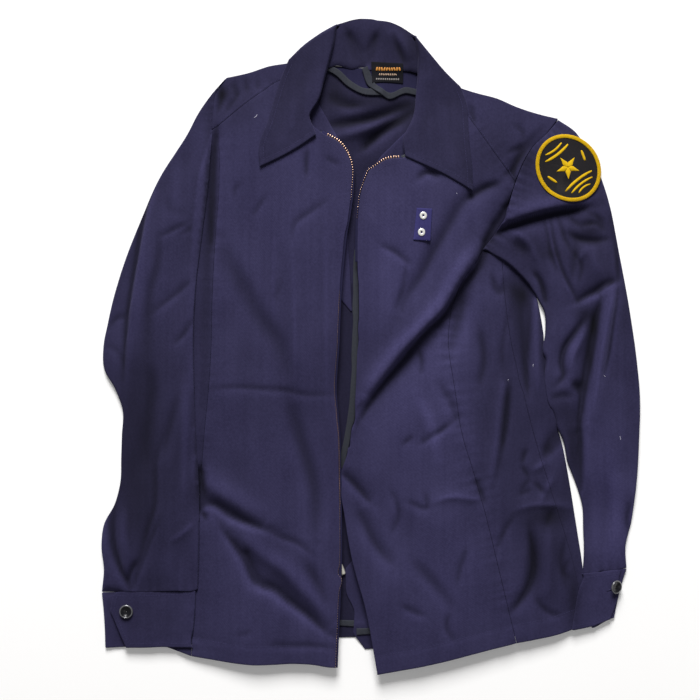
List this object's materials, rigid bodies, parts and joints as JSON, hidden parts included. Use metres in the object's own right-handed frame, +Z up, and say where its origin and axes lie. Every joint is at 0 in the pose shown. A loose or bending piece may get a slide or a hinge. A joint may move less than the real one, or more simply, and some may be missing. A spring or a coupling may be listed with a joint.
{
  "type": "zip-front firefighter jacket laid flat",
  "caption": "Navy zip-front uniform jacket lying open on its back, pointed collar, sleeves at its sides with buttoned cuffs.",
  "frame": {"origin": "middle of the rectangle that the jacket covers, on the surface that it lies on", "axes": "+Y from hem to collar, +X towards the wearer's left sleeve, +Z up from the surface"},
  "size_m": [0.6244, 0.7536, 0.0214],
  "materials": {
    "navy_twill": "matt cotton and polyester twill, soft hand, light sheen on creases",
    "navy_twill_inside": "matt twill, wrong side and facings, a little darker",
    "grey_binding": "matt woven bias tape",
    "zip_brass": "metal zip teeth on a navy woven tape",
    "label_cloth": "smooth dark woven label, no wording",
    "nickel": "bright nickel-plated eyelet",
    "button_plastic": "four-hole button, glossy rim",
    "patch_embroidery": "dense satin-stitch embroidery on a dark ground"
  },
  "bodies": {
    "root": {"back": "navy_twill", "badge_tab": "navy_twill", "button_left": "button_plastic", "button_right": "button_plastic", "collar_fall": "navy_twill", "collar_stand": "navy_twill", "cuff_left": "navy_twill", "cuff_right": "navy_twill", "eyelet_lower": "nickel", "eyelet_upper": "nickel", "facing_left": "navy_twill_inside", "facing_left_lower": "navy_twill_inside", "facing_right": "navy_twill_inside", "front_binding_left": "grey_binding", "front_left": "navy_twill", "front_right": "navy_twill", "hem_binding": "grey_binding", "label": "label_cloth", "lower_binding": "grey_binding", "neck_binding_left": "grey_binding", "neck_binding_right": "grey_binding", "neck_facing_left": "navy_twill_inside", "neck_facing_right": "navy_twill_inside", "shoulder_patch": "patch_embroidery", "side_panel_left": "navy_twill", "side_panel_right": "navy_twill", "sleeve_left": "navy_twill", "sleeve_right": "navy_twill", "yoke_left": "navy_twill", "yoke_right": "navy_twill", "zip_box": "zip_brass", "zip_tape_left": "zip_brass", "zip_tape_right": "zip_brass"}
  },
  "joints": []
}
